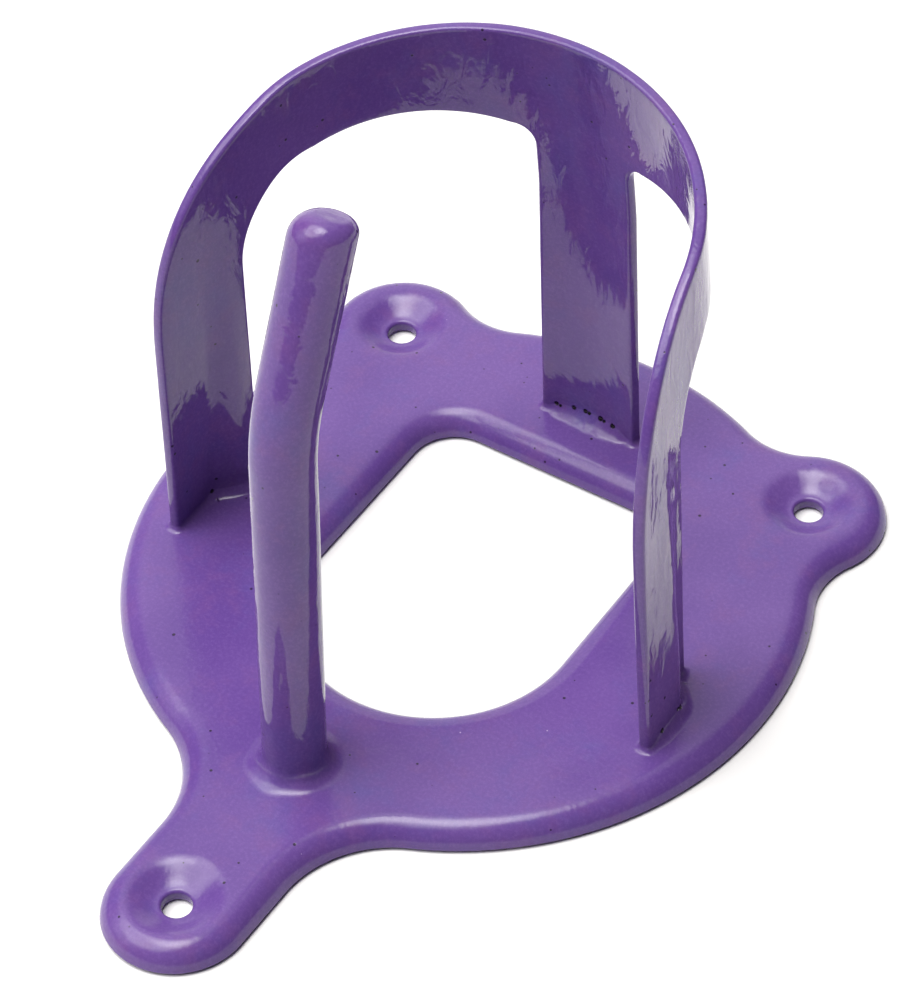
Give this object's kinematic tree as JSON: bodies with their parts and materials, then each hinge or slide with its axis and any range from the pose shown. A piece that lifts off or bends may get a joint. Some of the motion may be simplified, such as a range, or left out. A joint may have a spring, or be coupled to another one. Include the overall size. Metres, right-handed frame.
{
  "type": "bridle bracket",
  "caption": "Wall bracket for hanging a bridle: a plastic-dipped steel plate with three ears, a half-round arch of strap on legs and a bent hook bar.",
  "frame": {"origin": "on the wall plane, in the middle of the plate's width and length", "axes": "+Z out of the wall, +Y up the wall towards the two upper ears, +X to the right for a person who faces the wall"},
  "size_m": [0.1494, 0.1966, 0.1399],
  "materials": {
    "steel": "bare mild steel under the plastic",
    "weld": "as-welded bead under the plastic",
    "coating": "glossy purple dipped plastic"
  },
  "bodies": {
    "root": {"back_plate": "steel", "arch_strap": "steel", "hook_bar": "steel", "weld_left_leg_inside": "weld", "weld_left_leg_outside": "weld", "weld_centre_leg_inside": "weld", "weld_right_leg_inside": "weld", "weld_right_leg_outside": "weld", "weld_hook_bar": "weld", "plate_coating": "coating", "arch_coating": "coating", "hook_coating": "coating"}
  },
  "joints": []
}
